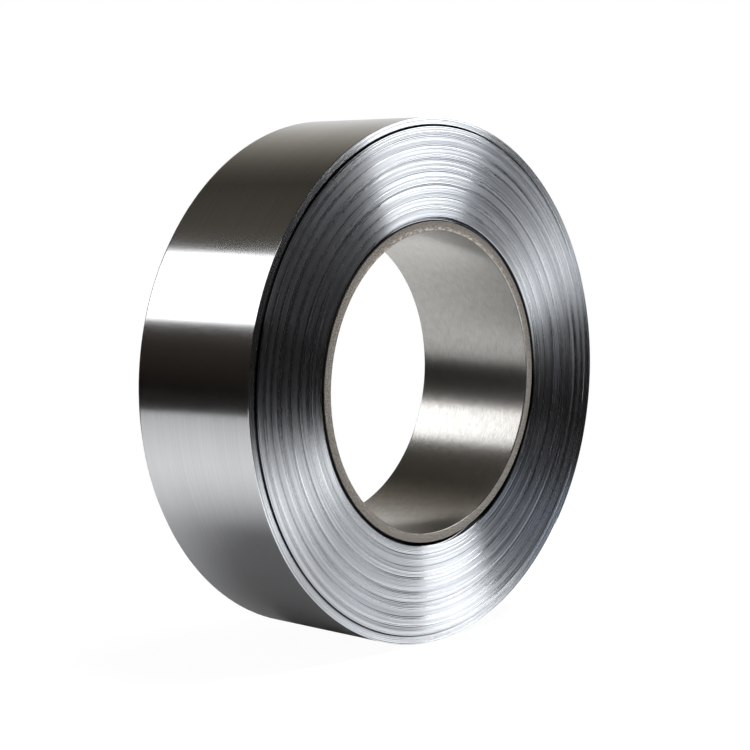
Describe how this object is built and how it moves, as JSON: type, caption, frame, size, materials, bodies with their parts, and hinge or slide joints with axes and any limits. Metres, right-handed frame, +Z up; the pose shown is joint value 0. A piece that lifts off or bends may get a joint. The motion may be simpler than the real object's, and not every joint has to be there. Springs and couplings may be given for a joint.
{
  "type": "steel coil",
  "caption": "Narrow bright steel strip wound tightly on a short steel core ring, with the laps' edges showing on both ends and an open bore for a mandrel.",
  "frame": {"origin": "centre of the bore, midway along the core ring", "axes": "+Z up with the coil standing on its rim, Y along the coil's axis, -Y out of the front end"},
  "size_m": [0.5306, 0.1572, 0.5296],
  "materials": {
    "bright_strip": "bright cold-rolled strip with fine rolling lines along its length",
    "core_steel": "mill-finish pipe, bright inside and dull on its cut ends"
  },
  "bodies": {
    "root": {"strip_winding": "bright_strip", "core_ring": "core_steel"}
  },
  "joints": []
}
